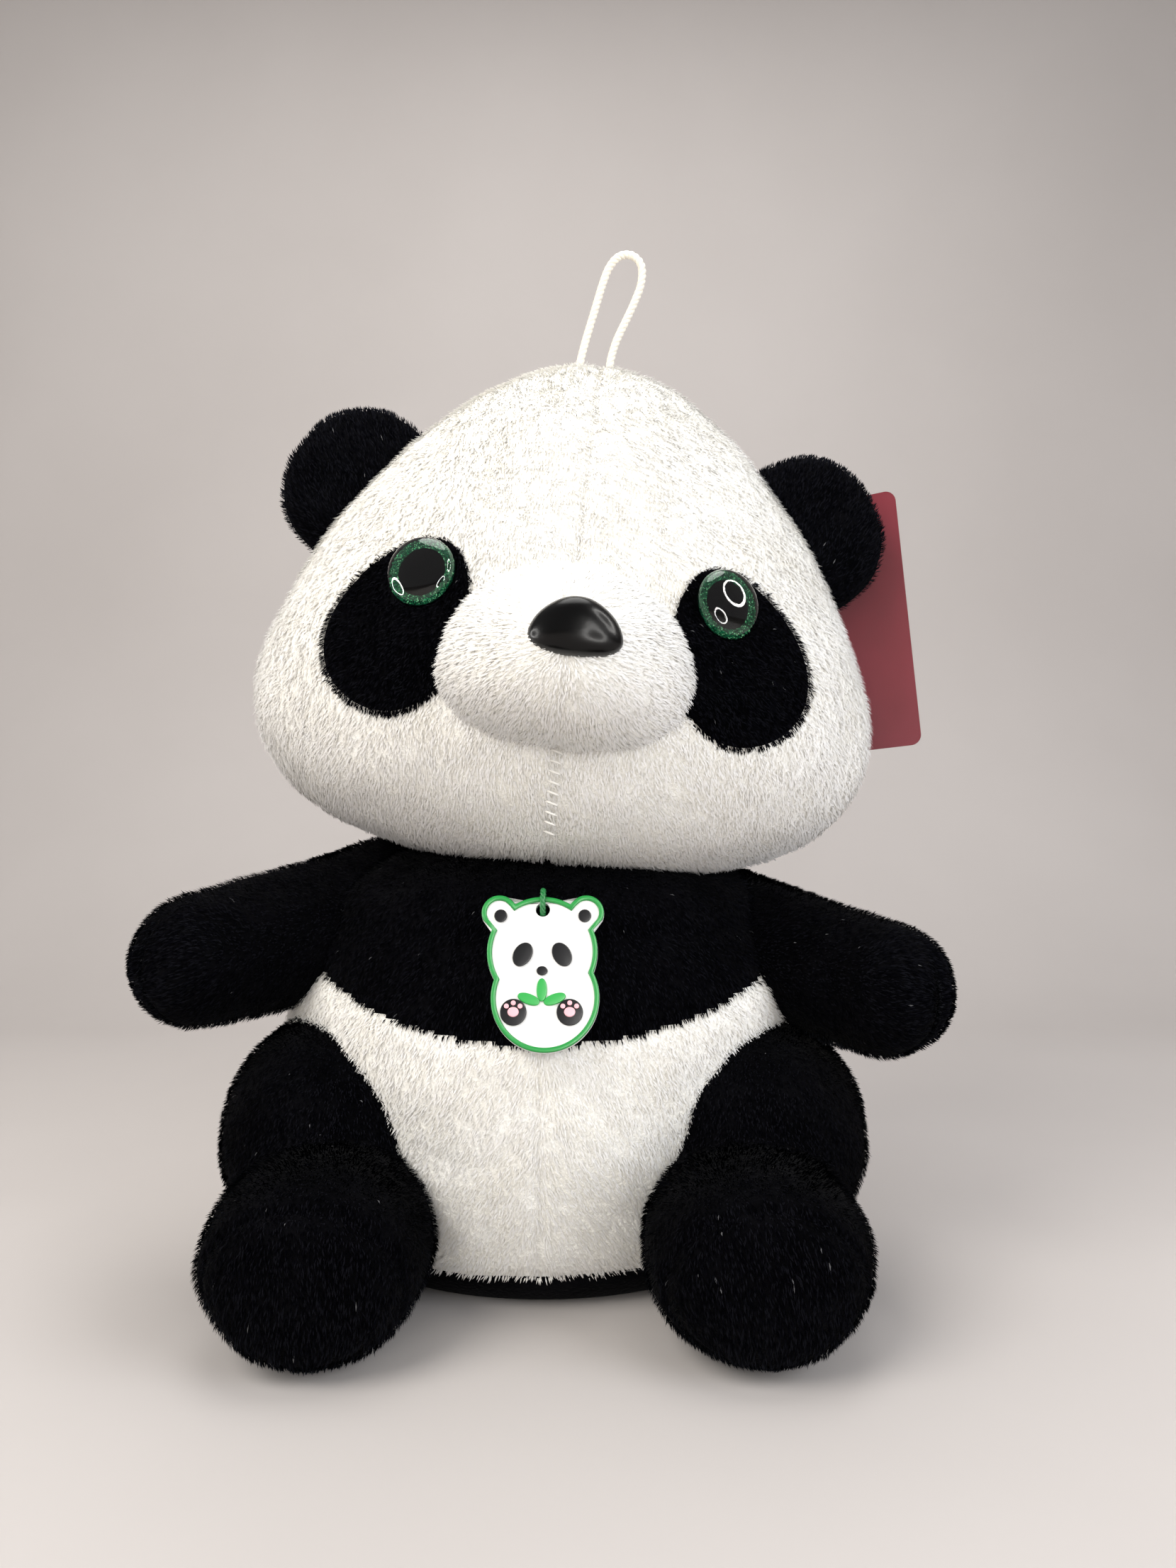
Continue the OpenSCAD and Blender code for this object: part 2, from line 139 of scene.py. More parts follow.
def principled(name, colour, rough=0.5, **sockets):
    m = bpy.data.materials.new(name)
    m.use_nodes = True
    b = m.node_tree.nodes["Principled BSDF"]
    b.inputs["Base Color"].default_value = (*colour, 1)
    b.inputs["Roughness"].default_value = rough
    for key, value in sockets.items():
        b.inputs[key.replace("_", " ")].default_value = value
    return m


def add_variation(m, colour_a, colour_b, scale, detail=4.0):
    """Colour drifts between two tones over the surface."""
    nt = m.node_tree
    b = nt.nodes["Principled BSDF"]
    where = nt.nodes.new("ShaderNodeTexCoord")
    tex = nt.nodes.new("ShaderNodeTexNoise")
    tex.inputs["Scale"].default_value = scale
    tex.inputs["Detail"].default_value = detail
    ramp = nt.nodes.new("ShaderNodeValToRGB")
    ramp.color_ramp.elements[0].position = 0.35
    ramp.color_ramp.elements[0].color = (*colour_a, 1)
    ramp.color_ramp.elements[1].position = 0.65
    ramp.color_ramp.elements[1].color = (*colour_b, 1)
    nt.links.new(where.outputs["Object"], tex.inputs["Vector"])
    nt.links.new(tex.outputs["Fac"], ramp.inputs["Fac"])
    nt.links.new(ramp.outputs["Color"], b.inputs["Base Color"])


def add_bump(m, scale, strength, distance, detail=3.0):
    nt = m.node_tree
    b = nt.nodes["Principled BSDF"]
    where = nt.nodes.new("ShaderNodeTexCoord")
    tex = nt.nodes.new("ShaderNodeTexNoise")
    tex.inputs["Scale"].default_value = scale
    tex.inputs["Detail"].default_value = detail
    bump = nt.nodes.new("ShaderNodeBump")
    bump.inputs["Strength"].default_value = strength
    bump.inputs["Distance"].default_value = distance
    nt.links.new(where.outputs["Object"], tex.inputs["Vector"])
    nt.links.new(tex.outputs["Fac"], bump.inputs["Height"])
    nt.links.new(bump.outputs["Normal"], b.inputs["Normal"])


def pile_base(name, dark, light, sheen):
    m = principled(name, light, 0.95, Sheen_Weight=sheen, Sheen_Roughness=0.5)
    m.node_tree.nodes["Principled BSDF"].inputs["Specular IOR Level"].default_value = 0.0
    add_variation(m, dark, light, 60)
    add_bump(m, 700, 0.6, 0.0012)
    return m


def fibre(name, colour, sheen, tint):
    m = principled(name, colour, 0.8, Sheen_Weight=sheen, Sheen_Roughness=0.4)
    b = m.node_tree.nodes["Principled BSDF"]
    b.inputs["Specular IOR Level"].default_value = 0.0
    b.inputs["Sheen Tint"].default_value = (*tint, 1)
    return m


WHITE_BASE = pile_base("white_backing", (0.80, 0.78, 0.72), (0.88, 0.87, 0.83), 0.2)
BLACK_BASE = pile_base("black_backing", (0.0012, 0.0012, 0.0016), (0.0028, 0.0028, 0.0036), 0.02)
WHITE_FIBRES = [
    fibre("white_fibre_a", (0.93, 0.92, 0.89), 0.3, (1, 1, 1)),
    fibre("white_fibre_b", (0.88, 0.86, 0.81), 0.3, (1, 1, 1)),
    fibre("white_fibre_c", (0.96, 0.95, 0.93), 0.3, (1, 1, 1)),
]
BLACK_FIBRES = [
    fibre("black_fibre_a", (0.0025, 0.0025, 0.0036), 0.03, (0.6, 0.65, 0.8)),
    fibre("black_fibre_b", (0.0055, 0.0056, 0.0076), 0.05, (0.6, 0.65, 0.8)),
    fibre("black_fibre_c", (0.001, 0.001, 0.0016), 0.02, (0.6, 0.65, 0.8)),
]


LINT = fibre("lint", (0.10, 0.10, 0.105), 0.05, (1, 1, 1))


# ---------------------------------------------------------------- mesh makers

def new_object(name, mesh, *materials):
    for m in materials:
        mesh.materials.append(m)
    ob = bpy.data.objects.new(name, mesh)
    bpy.context.scene.collection.objects.link(ob)
    return ob


def mesh_object(name, points, faces, *materials, smooth=True):
    mesh = bpy.data.meshes.new(name)
    mesh.from_pydata((np.asarray(points) * MM).tolist(), [], [list(map(int, f)) for f in faces])
    mesh.validate()
    if smooth:
        mesh.polygons.foreach_set("use_smooth", np.ones(len(mesh.polygons), bool))
    return new_object(name, mesh, *materials)


def triangle_mesh(name, points, faces, which, materials, normals=None):
    """Fast maker for many small triangles. which is each face's material index."""
    mesh = bpy.data.meshes.new(name)
    mesh.vertices.add(len(points))
    mesh.vertices.foreach_set("co", (points * MM).astype(np.float32).ravel())
    mesh.loops.add(faces.size)
    mesh.loops.foreach_set("vertex_index", faces.astype(np.int32).ravel())
    mesh.polygons.add(len(faces))
    mesh.polygons.foreach_set("loop_start", np.arange(0, faces.size, 3, dtype=np.int32))
    mesh.polygons.foreach_set("use_smooth", np.ones(len(faces), bool))
    ob = new_object(name, mesh, *materials)
    mesh.polygons.foreach_set("material_index", which.astype(np.int32))
    mesh.update(calc_edges=True)
    if normals is not None:
        mesh.normals_split_custom_set_from_vertices(normals.tolist())
    return ob


def band(a, b, n):
    """Faces between two rings of n points, whose first points are a and b."""
    return [[a + i, a + (i + 1) % n, b + (i + 1) % n, b + i] for i in range(n)]


def closed_rings(rings):
    """Points and faces of a closed skin over rings, whose first and last ring are single points."""
    n = len(rings[1])
    points = [rings[0][:1], *rings[1:-1], rings[-1][:1]]
    points = np.concatenate(points)
    k = np.arange(n)
    faces = [[0, 1 + (i + 1) % n, 1 + i] for i in k]
    rows = len(rings) - 2
    for r in range(rows - 1):
        faces += band(1 + r * n, 1 + (r + 1) * n, n)
    last, top = 1 + (rows - 1) * n, len(points) - 1
    faces += [[last + i, last + (i + 1) % n, top] for i in k]
    return points, faces


def plump_rings(r, h, power=2.0, taper=0.0, depth=1.0, rows=60, cols=120):
    """Rings of a plump form around Z, centred on the origin."""
    phi = np.linspace(0, 2 * math.pi, cols, endpoint=False)
    rings = []
    for a in np.linspace(-math.pi / 2, math.pi / 2, rows):
        s = math.sin(a)
        rho = r * float(bulge(s, power)) * (1 - taper * s)
        rings.append(np.stack([rho * np.cos(phi), rho * depth * np.sin(phi), np.full(cols, h * s)], 1))
    return rings


def limb_rings(root_r, tip_r, length, rows=20, cols=72, waist=0.0):
    """Rings of a limb along +Z from the root ball's centre to the rounded tip."""
    phi = np.linspace(0, 2 * math.pi, cols, endpoint=False)
    outline = [(root_r * math.cos(a), root_r * math.sin(a)) for a in np.linspace(-math.pi / 2, 0, rows)]
    for f in np.linspace(0, 1, rows)[1:-1]:
        rho = root_r + (tip_r - root_r) * f - waist * math.sin(math.pi * f)
        outline.append((rho, (length - tip_r) * f))
    outline += [(tip_r * math.cos(a), length - tip_r + tip_r * math.sin(a))
                for a in np.linspace(0, math.pi / 2, rows)]
    return [np.stack([rho * np.cos(phi), rho * np.sin(phi), np.full(cols, z)], 1) for rho, z in outline]


def moved(rings, turn=None, to=(0, 0, 0)):
    turn = np.eye(3) if turn is None else turn
    return [ring @ turn.T + np.array(to) for ring in rings]


def joined(skins):
    """Points and faces of several skins as one."""
    points, faces, start = [], [], 0
    for p, f in skins:
        points.append(p)
        faces += [[start + i for i in face] for face in f]
        start += len(p)
    return np.concatenate(points), faces


def fused(name, skins, voxel, smooth, material):
    """One smooth closed mesh around several overlapping skins."""
    ob = mesh_object(name + "_raw", *joined(skins))
    m = ob.modifiers.new("voxel", "REMESH")
    m.mode = "VOXEL"
    m.voxel_size = voxel * MM
    s = ob.modifiers.new("smooth", "SMOOTH")
    s.iterations = smooth
    s.factor = 0.5
    dg = bpy.context.evaluated_depsgraph_get()
    mesh = bpy.data.meshes.new_from_object(ob.evaluated_get(dg), depsgraph=dg)
    bpy.data.objects.remove(ob)
    mesh.name = name
    mesh.polygons.foreach_set("use_smooth", np.ones(len(mesh.polygons), bool))
    mesh.materials.clear()
    return new_object(name, mesh, material)


def points_of(ob):
    co = np.empty(len(ob.data.vertices) * 3, np.float32)
    ob.data.vertices.foreach_get("co", co)
    return co.reshape(-1, 3).astype(float) / MM


def normals_of(ob):
    no = np.empty(len(ob.data.vertices) * 3, np.float32)
    ob.data.vertices.foreach_get("normal", no)
    return no.reshape(-1, 3).astype(float)


def set_points(ob, points):
    ob.data.vertices.foreach_set("co", (points * MM).astype(np.float32).ravel())
    ob.data.update()


def roughen(ob, size, height, seed):
    """Gives a backing the soft unevenness of stuffed cloth."""
    p, n = points_of(ob), normals_of(ob)
    lift = height * (noise(p, size, seed) + 0.5 * noise(p, size / 2.3, seed + 1))
    set_points(ob, p + n * lift[:, None])


# ---------------------------------------------------------------- pile

def surface_samples(ob, per_mm2, rng, keep=None):
    """Random points on an object's faces with their normals."""
    mesh = ob.data
    mesh.calc_loop_triangles()
    tri = np.empty(len(mesh.loop_triangles) * 3, np.int32)
    mesh.loop_triangles.foreach_get("vertices", tri)
    tri = tri.reshape(-1, 3)
    p, n = points_of(ob), normals_of(ob)
    a, b, c = p[tri[:, 0]], p[tri[:, 1]], p[tri[:, 2]]
    area = np.linalg.norm(np.cross(b - a, c - a), axis=1) / 2
    total = area.sum()
    count = int(total * per_mm2)
    pick = rng.choice(len(tri), count, p=area / total)
    u, v = rng.random(count), rng.random(count)
    flip = u + v > 1
    u[flip], v[flip] = 1 - u[flip], 1 - v[flip]
    w = 1 - u - v
    t = tri[pick]
    at = p[t[:, 0]] * w[:, None] + p[t[:, 1]] * u[:, None] + p[t[:, 2]] * v[:, None]
    nn = unit(n[t[:, 0]] * w[:, None] + n[t[:, 1]] * u[:, None] + n[t[:, 2]] * v[:, None])
    if keep is not None:
        ok = keep(at)
        at, nn = at[ok], nn[ok]
    return at, nn


def add_pile(ob, name, body, nap, seed, materials, per_mm2=1.15, length=2.6, width=0.42, lean=0.62,
             keep=None, spread=0.26, streak=9.0):
    """Covers a backing with short leaning fibres, each one a bent diamond of two triangles."""
    rng = np.random.default_rng(seed)
    at, n = surface_samples(ob, per_mm2 * (1), rng, keep)
    count = len(at)
    flow = nap(at) if callable(nap) else np.tile(np.array(nap, float), (count, 1))
    flow = flow + 0.32 * np.stack([noise(at, streak * 2.2, seed + k) for k in (2, 3, 4)], 1)
    flow = unit(flow - n * np.sum(flow * n, axis=1, keepdims=True))
    clump = np.stack([noise(at, streak * 0.35, seed + k) for k in (5, 6, 7)], 1)
    d = unit(n * (1 - lean) + flow * lean + spread * (0.45 * clump + 0.45 * rng.normal(size=(count, 3))))
    under = np.sum(d * n, axis=1, keepdims=True)
    d = unit(d + n * np.maximum(0, 0.12 - under))
    size = length * (0.7 + 0.45 * rng.random(count)) * (1 + 0.12 * noise(at, streak, seed + 8))
    size = size[:, None]
    side = unit(np.cross(d, n)) * (width / 2) * (0.7 + 0.6 * rng.random((count, 1)))
    curl = unit(flow * 0.6 - n * 0.3)
    root = at - n * 0.35
    mid = at + d * size * 0.5
    tip = at + d * size * 0.95 + curl * size * 0.12
    points = np.stack([root, mid - side, mid + side, tip], 1).reshape(-1, 3)
    points[:, 2] = np.maximum(points[:, 2], 0.2)
    first = np.arange(count) * 4
    faces = np.concatenate([
        np.stack([first, first + 2, first + 1], 1),
        np.stack([first + 1, first + 2, first + 3], 1),
    ])
    shade = rng.integers(0, len(materials), count)
    if materials is BLACK_FIBRES:
        shade = np.where(rng.random(count) < 0.0012, len(materials), shade)
        materials = [*materials, LINT]
    soft = np.repeat(unit(n + 0.25 * d), 4, axis=0)
    pile = triangle_mesh(name, points, faces, np.tile(shade, 2), materials, soft)
    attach(pile, body)
    return pile


# ---------------------------------------------------------------- camera, stage, light

CAMERA_AT = np.array([15, -415, 167])
RING_R, RING_THICK, RING_POWER = 115, 13, 24


def make_camera():
    data = bpy.data.cameras.new("camera")
    data.lens = 26
    data.sensor_width = 36
    data.clip_start = 0.01
    cam = bpy.data.objects.new("camera", data)
    cam.location = Vector(CAMERA_AT * MM)
    cam.rotation_euler = (math.radians(90), 0, 0)
    bpy.context.scene.collection.objects.link(cam)
    bpy.context.scene.camera = cam


def make_stage():
    """A level table that curves up into a plain backdrop."""
    half, back, rise, bend = 5000, 700, 1700, 350
    profile = [(-half, 0), (back - bend, 0)]
    profile += [(back - bend + bend * math.sin(a), bend - bend * math.cos(a))
                for a in np.linspace(0, math.pi / 2, 24)[1:]]
    profile += [(back, rise)]
    points = [[x, y, z] for y, z in profile for x in (-half, half)]
    faces = [[2 * i, 2 * i + 1, 2 * i + 3, 2 * i + 2] for i in range(len(profile) - 1)]
    paper = principled("backdrop_paper", (0.47, 0.44, 0.425), 0.9)
    add_variation(paper, (0.46, 0.43, 0.415), (0.49, 0.46, 0.445), 3)
    mesh_object("stage", points, faces, paper)


def area_light(name, at, aim, power, size, colour, shine=True):
    data = bpy.data.lights.new(name, "AREA")
    data.shape = "DISK"
    data.size = size * MM
    data.energy = power
    data.color = colour
    ob = bpy.data.objects.new(name, data)
    ob.visible_glossy = shine
    ob.visible_transmission = shine
    ob.location = Vector(np.array(at) * MM)
    way = Vector(np.array(aim) - np.array(at))
    ob.rotation_euler = way.to_track_quat("-Z", "Y").to_euler()
    bpy.context.scene.collection.objects.link(ob)


def ring_glow(name, at, side):
    """A small studio ring light that faces one eye, seen only as a reflection in the eyes and nose."""
    aim = (side * 46, -85, 227)
    bpy.ops.mesh.primitive_torus_add(major_radius=RING_R * MM, minor_radius=RING_THICK * MM,
                                     major_segments=64, minor_segments=12)
    ring = bpy.context.object
    ring.name = name
    ring.location = Vector(np.array(at) * MM)
    ring.rotation_euler = Vector(np.array(aim) - np.array(at)).to_track_quat("-Z", "Y").to_euler()
    glow = principled(name, (0, 0, 0), 1, Emission_Color=(1, 0.98, 0.95, 1), Emission_Strength=RING_POWER)
    ring.data.materials.append(glow)
    ring.visible_camera = False
    ring.visible_diffuse = False
    ring.visible_transmission = False
    ring.visible_shadow = False


def make_lights():
    area_light("key", (-550, -600, 800), (0, 0, 170), 9.0, 700, (1.0, 0.965, 0.91), shine=False)
    area_light("fill", (700, -500, 450), (0, 0, 150), 4.8, 600, (0.92, 0.95, 1.0), shine=False)
    area_light("top", (0, 60, 1000), (0, 0, 100), 4.6, 700, (1.0, 0.99, 0.97))
    area_light("bounce", (-150, -1300, 500), (0, 0, 190), 5.0, 700, (1.0, 0.975, 0.93), shine=False)
    ring_glow("ring_near", (195, -395, 150), 1)
    ring_glow("ring_high", (330, -175, 415), 1)
    ring_glow("ring_side", (-395, -115, 195), -1)
    world = bpy.data.worlds.new("studio")
    world.use_nodes = True
    world.node_tree.nodes["Background"].inputs["Color"].default_value = (0.80, 0.78, 0.79, 1)
    world.node_tree.nodes["Background"].inputs["Strength"].default_value = 0.40
    bpy.context.scene.world = world
    bpy.context.scene.view_settings.view_transform = "Standard"


# ---------------------------------------------------------------- head

def head_nap(p):
    """Pile on the head runs down and away from the middle."""
    flow = np.zeros_like(p)
    flow[:, 0] = p[:, 0] * 0.006
    flow[:, 2] = -1
    return flow


def head_shape(p):
    """Seams drawn into the head form: down the forehead, and under the chin."""
    x, front = p[:, 0], p[:, 1] < HEAD_C[1]
    crease = np.exp(-((x / 1.6) ** 2)) * front
    inward = unit(HEAD_C - p)
    dimple = np.exp(-(((p[:, 0]) ** 2 + (p[:, 1] - HEAD_C[1]) ** 2) / 60)) * (p[:, 2] > HEAD_C[2])
    return p + inward * (1.1 * crease + 1.5 * dimple)[:, None]


def face_y(x, z):
    s = (z - HEAD_C[2]) / HEAD_H
    r = HEAD_R * float(bulge(s, HEAD_POWER)) * (1 - HEAD_TAPER * s)
    return HEAD_C[1] - HEAD_DEPTH * math.sqrt(r * r - x * x)


def make_head():
    rings = moved(plump_rings(HEAD_R, HEAD_H, HEAD_POWER, HEAD_TAPER, HEAD_DEPTH, 130, 220), to=HEAD_C)
    p, faces = closed_rings(rings)
    head = mesh_object("head", on_head(head_shape(p)), faces, WHITE_BASE)
    roughen(head, 26, 0.9, 11)
    set_points(head, seat_eyes(points_of(head), 1.8))
    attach(head, "head")
    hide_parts("head_cover")

    def outside_muzzle(q):
        local = off_head(q)
        inside = np.sum(((local - MUZZLE_C) / (MUZZLE - 2)) ** 2, axis=1) < 1
        return ~inside & ~in_patch(local)

    halves = {"front": lambda q: q[:, 1] < HEAD_C[1] + 4, "back": lambda q: q[:, 1] >= HEAD_C[1] + 4}
    for seed, (name, half) in enumerate(halves.items()):
        pile = add_pile(head, f"head_pile_{name}", "head", head_nap, 21 + 20 * seed, WHITE_FIBRES,
                        per_mm2=1.4, keep=lambda q, half=half: outside_muzzle(q) & half(q))


def make_chin_stitches():
    """A row of short hand stitches that closes the seam under the muzzle."""
    thread = principled("stitch_thread", (0.72, 0.70, 0.65), 0.8)
    skins = []
    for z in np.arange(152, 181, 3.1):
        y = face_y(0, z) - 1.1
        line = np.array([[-1.7, y, z + 0.5], [-0.9, y - 0.5, z + 0.25], [0, y - 0.6, z],
                         [0.9, y - 0.5, z - 0.25], [1.7, y, z - 0.5]])
        skins.append(tube(line, 0.38, 8))
    p, faces = joined(skins)
    stitches = mesh_object("chin_stitches", on_head(p), faces, thread)
    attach(stitches, "head")


def in_patch(local):
    """True inside the egg outline of either eye patch, seen from the front."""
    out = np.zeros(len(local), bool)
    c, s = math.cos(PATCH_LEAN), math.sin(PATCH_LEAN)
    for side in SIDES.values():
        x = (local[:, 0] - side * PATCH_C[0]) * side
        z = local[:, 2] - PATCH_C[1]
        u, v = c * x + s * z, -s * x + c * z
        half = PATCH_HALF_W * (1 - PATCH_TAPER * v / PATCH_HALF_H)
        out |= (u / half) ** 2 + (v / PATCH_HALF_H) ** 2 < 1
    return out & (local[:, 1] < HEAD_C[1])


def make_patches():
    """Each patch is the piece of the face form inside its egg outline, standing a little proud."""
    cols, rows = 110, 44
    c, s = math.cos(PATCH_LEAN), math.sin(PATCH_LEAN)
    for name, side in SIDES.items():
        points = []
        for f in np.linspace(0, 1, rows):
            for a in np.linspace(0, 2 * math.pi, cols, endpoint=False):
                v = PATCH_HALF_H * f * math.sin(a)
                u = PATCH_HALF_W * (1 - PATCH_TAPER * math.sin(a)) * f * math.cos(a)
                x, z = side * (PATCH_C[0] + c * u - s * v), PATCH_C[1] + s * u + c * v
                lift = 1.3 if f < 0.97 else -0.6
                points.append([x, face_y(x, z) - lift, z])
        faces = []
        for r in range(1, rows - 1):
            faces += band(r * cols, (r + 1) * cols, cols)
        faces += [[0, cols + (i + 1) % cols, cols + i] for i in range(cols)]
        patch = mesh_object(f"eye_patch_pile_{name}_backing", on_head(np.array(points)), faces, BLACK_BASE)
        face_away(patch, HEAD_C)
        set_points(patch, seat_eyes(points_of(patch), 0.2))
        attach(patch, "head")
        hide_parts(f"eye_patch_{name}")
        centre = on_head(np.array([[side * EYE_X, face_y(EYE_X, EYE_Z), EYE_Z]]))[0]

        def clear_of_eye(q, centre=centre):
            local = off_head(q)
            inside = np.sum(((local - MUZZLE_C) / (MUZZLE - 1)) ** 2, axis=1) < 1
            return (np.linalg.norm(q - centre, axis=1) > EYE_R + 0.3) & ~inside

        pile = add_pile(patch, f"eye_patch_pile_{name}", "head", head_nap, 31 + side, BLACK_FIBRES,
                        per_mm2=2.6, length=2.6, width=0.4, keep=clear_of_eye, lean=0.5, spread=0.4)


def face_away(ob, centre):
    """Turns an open skin's faces to look away from a centre."""
    mesh = ob.data
    n = np.empty(len(mesh.polygons) * 3, np.float32)
    c = np.empty(len(mesh.polygons) * 3, np.float32)
    mesh.polygons.foreach_get("normal", n)
    mesh.polygons.foreach_get("center", c)
    out = np.sum(n.reshape(-1, 3) * (c.reshape(-1, 3) - np.array(centre) * MM), axis=1).sum()
    if out < 0:
        mesh.flip_normals()


def make_muzzle():
    rings = plump_rings(1, 1, 2.15, 0.06, 1.0, 70, 120)
    p, faces = closed_rings(rings)
    p = p * MUZZLE
    p[:, 0] *= 1 - 0.10 * p[:, 2] / MUZZLE[2]
    seam = np.exp(-((p[:, 0] / 1.3) ** 2)) * (p[:, 1] < 0)
    p = p * (1 - 0.025 * seam)[:, None] + MUZZLE_C
    muzzle = mesh_object("muzzle", on_head(p), faces, WHITE_BASE)
    roughen(muzzle, 14, 0.5, 41)
    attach(muzzle, "head")
    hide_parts("muzzle_cover")

    def muzzle_nap(q):
        flow = (q - on_head(MUZZLE_C[None])[0]) * np.array([1.0, 0.0, 0.8])
        return unit(flow) + np.array([0, 0.5, -0.4])

    pile = add_pile(muzzle, "muzzle_pile", "head", muzzle_nap, 43, WHITE_FIBRES,
                    per_mm2=1.8, length=2.8, keep=lambda q: q[:, 1] < -66)


# ---------------------------------------------------------------- eyes and nose

def eye_frame(name):
    """An eye's middle on the upright head, and its own right, up and outward directions as rows."""
    at = np.array([SIDES[name] * EYE_X, face_y(EYE_X, EYE_Z) - 1.6, EYE_Z])
    turn = turn_matrix(EYE_TURN[name], "Z") @ turn_matrix(-EYE_TILT, "X")
    return at, np.stack([turn @ v for v in (np.array([1, 0, 0]), np.array([0, 0, 1]), np.array([0, -1, 0]))])


def seat_eyes(points, depth):
    """Presses cloth flat behind each eye."""
    upright = off_head(points)
    for name in SIDES:
        at, axes = eye_frame(name)
        local = (upright - at) @ axes.T
        near = np.hypot(local[:, 0], local[:, 1]) < EYE_R + 0.8
        near &= (np.abs(local[:, 2]) < 12) & (local[:, 2] > -depth)
        local[near, 2] = -depth
        upright[near] = at + local[near] @ axes
    return on_head(upright)


def turned(outline, phi):
    """Closed skin of an outline of (radius, height) pairs turned around Z."""
    return closed_rings([np.stack([rho * np.cos(phi), rho * np.sin(phi), np.full(len(phi), h)], 1)
                         for rho, h in outline])


def make_eyes():
    """Clear dome over a glitter ring of many small tilted flakes, an iris plate and a pupil."""
    lens = principled("eye_lens_clear", (1, 1, 1), 0.0, Transmission_Weight=1.0, IOR=1.06, Coat_Weight=1.0,
                      Coat_Roughness=0.01)
    black = principled("pupil_black", (0.001, 0.001, 0.001), 0.6, Specular_IOR_Level=0.0)
    rng = np.random.default_rng(5)
    greens = [principled(f"glitter_{i}", c, 0.22, Metallic=0.75) for i, c in enumerate(
        [(0.006, 0.17, 0.065), (0.012, 0.34, 0.13), (0.003, 0.06, 0.03), (0.40, 0.95, 0.52)])]
    phi = np.linspace(0, 2 * math.pi, 64, endpoint=False)
    for name in SIDES:
        at, axes = eye_frame(name)

        def place(local, at=at, axes=axes):
            return on_head(at + local @ axes)

        outline = [(0, 0.05), (EYE_R - 0.3, 0.05), (EYE_R, 0.4), (EYE_R, 2.0)]
        outline += [((EYE_R - 0.2) * math.cos(a), 2.2 + 4.8 * math.sin(a))
                    for a in np.linspace(0.05, math.pi / 2, 20)]
        p, faces = turned(outline, phi)
        dome = mesh_object(f"eye_dome_{name}", place(p), faces, lens)
        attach(dome, "head")
        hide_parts(f"eye_lens_{name}")
        a = rng.random(FLAKES) * 2 * math.pi
        rho = np.sqrt(rng.uniform((PUPIL_R - 0.1) ** 2, IRIS_R ** 2, FLAKES))
        c = np.stack([rho * np.cos(a), rho * np.sin(a), np.full(FLAKES, 0.75) + 0.15 * rng.random(FLAKES)], 1)
        tilt = rng.normal(size=(FLAKES, 3)) * np.array([0.25, 0.25, 0]) + np.array([0, 0, 1.0])
        tilt = unit(tilt)
        e1 = unit(np.cross(tilt, rng.normal(size=(FLAKES, 3))))
        e2 = np.cross(tilt, e1)
        size = 0.16 + 0.20 * rng.random((FLAKES, 1))
        flakes = np.stack([c + size * (math.cos(t) * e1 + math.sin(t) * e2)
                           for t in (0.0, 2.094, 4.189)], 1).reshape(-1, 3)
        f = np.arange(FLAKES * 3).reshape(-1, 3)
        tones = rng.choice(len(greens), FLAKES, p=(0.36, 0.28, 0.24, 0.12))
        glitter = triangle_mesh(f"eye_glitter_{name}", place(flakes), f, tones, greens)
        glitter.data.polygons.foreach_set("use_smooth", np.zeros(FLAKES, bool))
        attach(glitter, "head")
        p, faces = turned([(0, 0.1), (IRIS_R, 0.1), (IRIS_R, 0.6), (0, 0.6)], phi)
        disc = mesh_object(f"eye_disc_{name}", place(p), faces, greens[2])
        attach(disc, "head")
        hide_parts(f"eye_iris_{name}")
        p, faces = turned([(0, 0.62), (PUPIL_R, 0.62), (PUPIL_R, 0.95), (0, 0.95)], phi)
        pupil = mesh_object(f"eye_pupil_{name}", place(p), faces, black)
        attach(pupil, "head")


def make_nose():
    rings = plump_rings(1, 1, 2.6, 0.0, 1.0, 60, 90)
    p, faces = closed_rings(rings)
    z = p[:, 2]
    p[:, 0] *= 1 - 0.30 * z - 0.12 * z * z
    p *= NOSE
    p += NOSE_C + np.array([0, -1, 0])
    plastic = principled("nose_satin", (0.001, 0.001, 0.001), 0.24, Specular_IOR_Level=0.22)
    add_bump(plastic, 900, 0.05, 0.0003)
    nose = mesh_object("nose_button", on_head(p), faces, plastic)
    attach(nose, "head")
    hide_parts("nose")


# ---------------------------------------------------------------- ears

def make_ears():
    for name, side in SIDES.items():
        rings = plump_rings(EAR_R, EAR_R, 2.2, 0, EAR_HALF_T / EAR_R, 60, 90)
        p, faces = closed_rings(rings)
        p[:, 2] = np.where(p[:, 2] < 0, p[:, 2] * 0.42, p[:, 2])
        hollow = np.exp(-((p[:, 0] / 15) ** 2 + ((p[:, 2] - 12) / 13) ** 2))
        p[:, 1] += np.where(p[:, 1] < 0, 3.0 * hollow, 0)
        angle = side * (math.pi / 2 - EAR_LEAN)
        q = p @ turn_matrix(angle, "Y").T + EAR_ROOT * np.array([side, 1, 1])
        ear = mesh_object(f"ear_pad_{name}", on_head(q), faces, BLACK_BASE)
        roughen(ear, 12, 0.5, 51 + side)
        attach(ear, f"ear_{name}")
        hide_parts(f"ear_{name}")
        pile = add_pile(ear, f"ear_pile_{name}", f"ear_{name}", (side * 0.3, 0, 1.0), 53 + side, BLACK_FIBRES,
                        per_mm2=1.8, length=2.4, width=0.38, lean=0.45, spread=0.35)


# ---------------------------------------------------------------- torso

def torso_r(z):
    s = np.where(z < WIDEST_Z, (z - WIDEST_Z) / LOW_H, (z - WIDEST_Z) / HIGH_H)
    return BODY_R * bulge(s, BODY_POWER)


